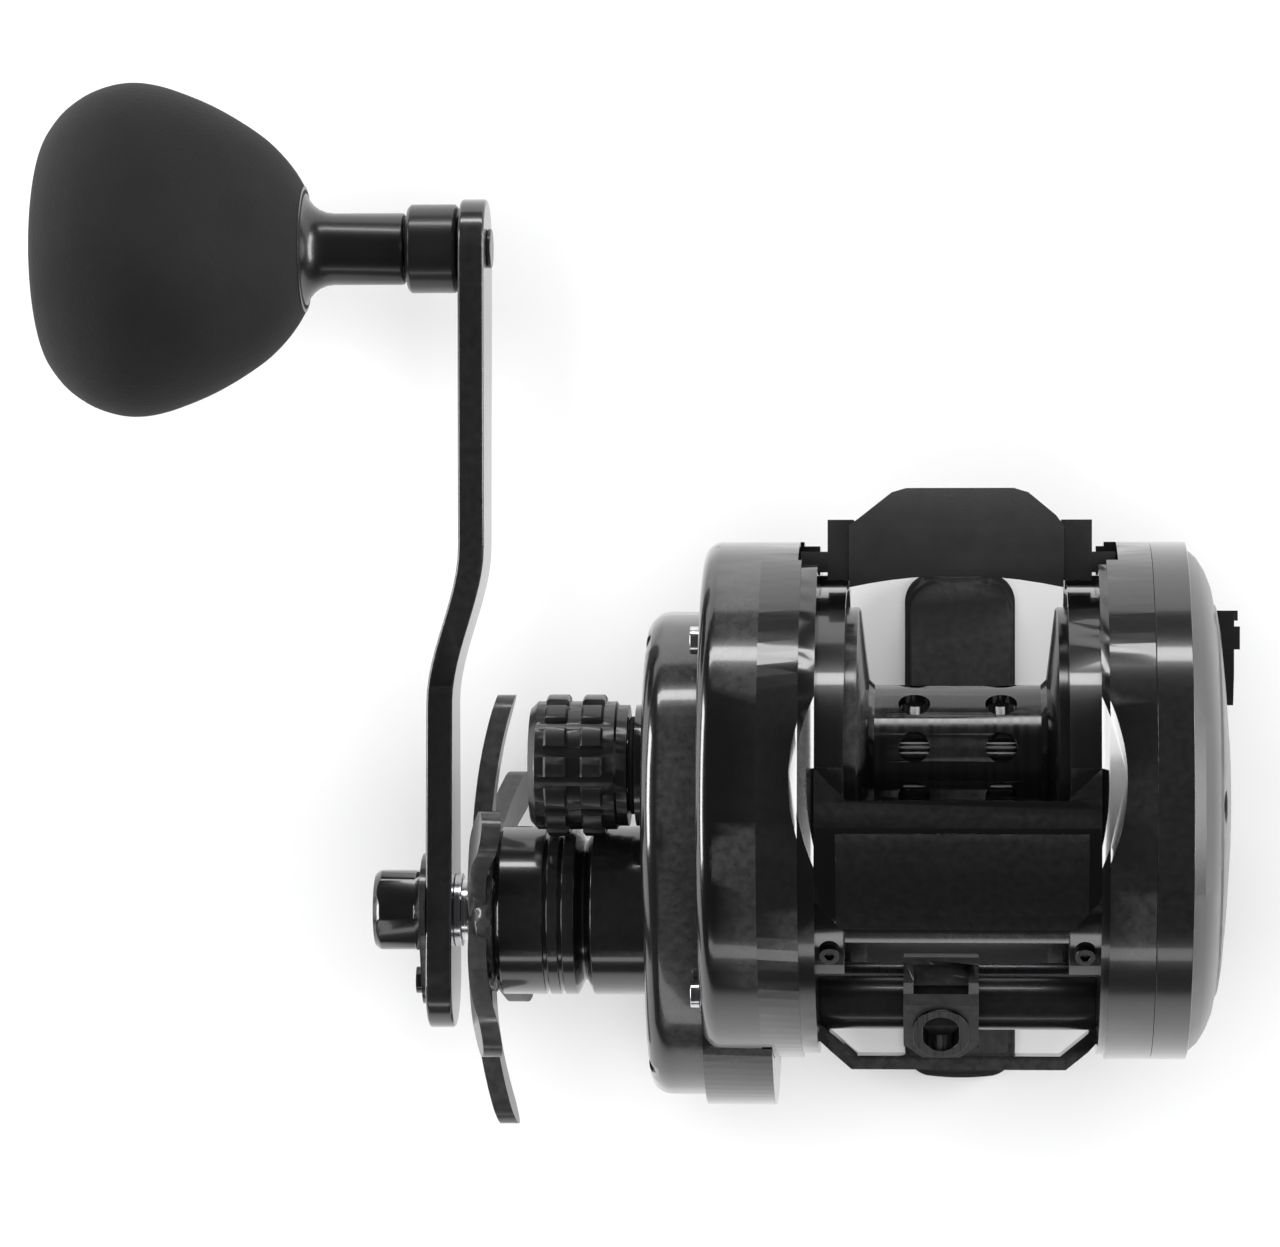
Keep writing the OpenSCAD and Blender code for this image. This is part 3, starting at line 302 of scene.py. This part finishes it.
def carbon_weave(name):
    """Drag washer fabric: two crossing sets of fine bands."""
    g = Graph(name, 0.55, 0.0)
    bands = []
    for axis in ("Y", "Z"):
        wave = g.tree.nodes.new("ShaderNodeTexWave")
        wave.bands_direction = axis
        wave.inputs["Scale"].default_value = 420
        g.link(g.place, wave.inputs["Vector"])
        bands.append(wave.outputs["Fac"])
    both = g.tree.nodes.new("ShaderNodeMath")
    both.operation = "MULTIPLY"
    g.link(bands[0], both.inputs[0])
    g.link(bands[1], both.inputs[1])
    g.link(g.colours(both.outputs[0], [(0, (0.01,) * 3), (1, (0.06,) * 3)]), g.bsdf.inputs["Base Color"])
    g.bump(both.outputs[0], 0.4, 0.0001)
    return g.mat


def make_materials():
    satin_half_width = 19.3 * MM        # the polished bands lie outside this
    drum_black = black_metal("black_anodised", 0.0045, 0.2, coat=0.6)
    return {
        "black_anodised": satin_between(drum_black, satin_half_width, 0.27, 0.9),
        "gloss_black": black_metal("gloss_black", 0.003, 0.1, coat=1.0),
        "satin_black": black_metal("satin_black", 0.007, 0.3, grain=0.1, coat=0.2),
        "matte_black_metal": black_metal("matte_black_metal", 0.012, 0.5, grain=0.3),
        "graphite_satin": black_metal("graphite_satin", 0.03, 0.36, grain=0.2, coat=0.25),
        "spool_black": lathe_black("spool_black", 0.005, 0.16, 40),
        "handle_black": black_metal("handle_black", 0.005, 0.22, coat=0.5, worn=0.4),
        "bright_steel": bright_metal("bright_steel", (0.75, 0.75, 0.77), 0.2),
        "dark_steel": bright_metal("dark_steel", (0.1, 0.1, 0.105), 0.35),
        "gear_brass": bright_metal("gear_brass", (0.75, 0.56, 0.25), 0.28),
        "drag_fibre": carbon_weave("drag_fibre"),
        "gear_nylon": moulded("gear_nylon", (0.72, 0.70, 0.62), 0.5, 0.15),
        "eva_foam": foam_rubber("eva_foam"),
        "thumb_bar_black": moulded("thumb_bar_black", (0.012, 0.012, 0.0125), 0.55, 0.35),
        "seal_rubber": moulded("seal_rubber", (0.01, 0.01, 0.01), 0.7, 0.2),
        "black_plastic": moulded("black_plastic", (0.01, 0.01, 0.0105), 0.4, 0.2),
    }


def dress_nodes(materials):
    for part in frame["record"]["subparts"]:
        mesh = nodes[part["node"]].data
        mesh.materials.clear()
        mesh.materials.append(materials[part["material_slot"]])


# ---- Pieces ----

BODY_OF = {n: b for b, ns in frame["record"]["behaviour"]["bodies"].items() for n in ns}
SLOT_OF = {part["node"]: part["material_slot"] for part in frame["record"]["subparts"]}


def add_piece(name, mesh, node):
    """Links a piece that stands for one CAD node and moves with its body."""
    piece = bpy.data.objects.new(name, mesh)
    bpy.context.scene.collection.objects.link(piece)
    mesh.materials.clear()
    mesh.materials.append(materials[SLOT_OF[node]])
    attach(piece, BODY_OF[node])
    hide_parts(node)
    return piece


def smooth_by_angle(mesh, degrees):
    mesh.polygons.foreach_set("use_smooth", [True] * len(mesh.polygons))
    mesh.set_sharp_from_angle(angle=math.radians(degrees))


def finished(node, width, segments=2, limit=30, weighted=False):
    """Machined finish of a CAD node: its sharp edges are broken by a small rounded bevel."""
    weld = 2e-6
    flat = math.radians(0.3)            # faces that meet at less than this become one
    mesh = bpy.data.meshes.new(node + "_finish")
    bm = bmesh.new()
    bm.from_mesh(nodes[node].data)
    bmesh.ops.remove_doubles(bm, verts=bm.verts, dist=weld)
    bmesh.ops.dissolve_limit(bm, angle_limit=flat, verts=bm.verts, edges=bm.edges)
    bm.to_mesh(mesh)
    bm.free()
    smooth_by_angle(mesh, limit)
    work = bpy.data.objects.new("work", mesh)
    bpy.context.scene.collection.objects.link(work)
    bevel = work.modifiers.new("bevel", "BEVEL")
    bevel.width = width * MM
    bevel.segments = segments
    bevel.limit_method = "ANGLE"
    bevel.angle_limit = math.radians(limit)
    bevel.use_clamp_overlap = True
    bevel.miter_outer = "MITER_ARC"
    bevel.harden_normals = not weighted
    if weighted:
        even = work.modifiers.new("even", "WEIGHTED_NORMAL")
        even.keep_sharp = False
    graph = bpy.context.evaluated_depsgraph_get()
    done = bpy.data.meshes.new_from_object(work.evaluated_get(graph))
    bpy.data.objects.remove(work)
    return add_piece(node + "_body", done, node)


# Bevel widths in mm, and the nodes that get them
EDGE_WIDTHS = {
    0.1: ["front_hood"],
    0.12: ["frame", "clutch_housing", "worm_tube", "click_switch", "hood_screws", "side_plate_screws",
        "cover_screws", "palm_screws", "eye_insert", "knob_end_cap", "nut_retainer"],
    0.2: ["gear_box_cover", "handle_side_plate", "palm_side_plate", "palm_cap",
        "handle_nut", "spool", "knob_sleeve", "knob_spindle"],
    0.25: ["cast_control_cap", "line_guide"],
    0.45: ["reel_foot", "handle_arm", "thumb_bar", "star_drag"],
}


WIDE_EDGE = 0.3                         # wider bevels than this get a third segment
EVEN_SHADED = ("front_hood", "reel_foot")


def finish_edges():
    for width, names in EDGE_WIDTHS.items():
        segments = 3 if width > WIDE_EDGE else 2
        for node in names:
            finished(node, width, segments, weighted=node in EVEN_SHADED)


def spin(profile, centre, segments):
    """Closed mesh made by turning a list of (x, radius) points about the X direction."""
    bm = bmesh.new()
    rings = []
    turns = [2 * math.pi * i / segments for i in range(segments)]
    for x, r in profile:
        rings.append([bm.verts.new((x, centre[0] + r * math.cos(a), centre[1] + r * math.sin(a)))
            for a in turns])
    for low, high in zip(rings, rings[1:]):
        for i in range(segments):
            j = (i + 1) % segments
            bm.faces.new([low[i], low[j], high[j], high[i]])
    return bm


def curve_through(points, per):
    """Smooth curve through a list of 2-D points, as Catmull-Rom steps."""
    padded = [points[0]] + list(points) + [points[-1]]
    out = []
    for a, b, c, d in zip(padded, padded[1:], padded[2:], padded[3:]):
        for k in range(per):
            t = k / per
            out.append(tuple(0.5 * (2 * q + (r - p) * t + (2 * p - 5 * q + 4 * r - s) * t * t
                + (3 * q - p - 3 * r + s) * t ** 3) for p, q, r, s in zip(a, b, c, d)))
    out.append(points[-1])
    return out


def foam_knob():
    """Moulded foam knob: smooth flanks, a rolled lip at the neck and a seat for its end cap."""
    lo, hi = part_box("knob_foam")
    cap_lo, cap_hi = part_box("knob_end_cap")
    seat = cap_hi.x
    centre = ((lo.y + hi.y) / 2, (lo.z + hi.z) / 2)
    full = (hi.y - lo.y) / 2
    play = 0.1 * MM
    cap_r = (cap_hi.y - cap_lo.y) / 2 + play
    length = hi.x - lo.x
    # Share of the knob's length from its outer end, and share of its full radius
    flank = [(0.003, 0.40), (0.012, 0.53), (0.032, 0.655), (0.062, 0.745), (0.115, 0.845), (0.19, 0.93),
        (0.27, 0.98), (0.35, 1.0), (0.44, 0.985), (0.54, 0.935), (0.65, 0.86), (0.75, 0.77),
        (0.845, 0.665), (0.91, 0.565), (0.955, 0.475), (0.982, 0.405), (0.995, 0.365), (1.0, 0.335),
        (0.992, 0.305), (0.972, 0.27), (0.962, 0.225)]
    outer = [(lo.x + a * length, r * full) for a, r in curve_through(flank, 5)]
    sleeve_bore = 5.15 * MM
    sleeve_start = seat + 3.4 * MM
    seat_hole = 3 * MM
    seat_rim = (seat, cap_r - 0.01 * MM)
    mouth = [(lo.x + 0.6 * MM, cap_r), (lo.x + 0.1 * MM, cap_r + 0.4 * MM)]
    bore = [(sleeve_start, sleeve_bore), (seat, seat_hole)]
    profile = [seat_rim] + mouth + outer + bore + [seat_rim]
    bm = spin(profile, centre, 128)
    bmesh.ops.remove_doubles(bm, verts=bm.verts, dist=1e-6)
    bmesh.ops.recalc_face_normals(bm, faces=bm.faces)
    mesh = bpy.data.meshes.new("knob_foam_body")
    bm.to_mesh(mesh)
    bm.free()
    smooth_by_angle(mesh, 50)
    piece = add_piece("foam_knob", mesh, "knob_foam")


make_camera()
make_lights()
make_floor()
materials = make_materials()
dress_nodes(materials)
finish_edges()
foam_knob()
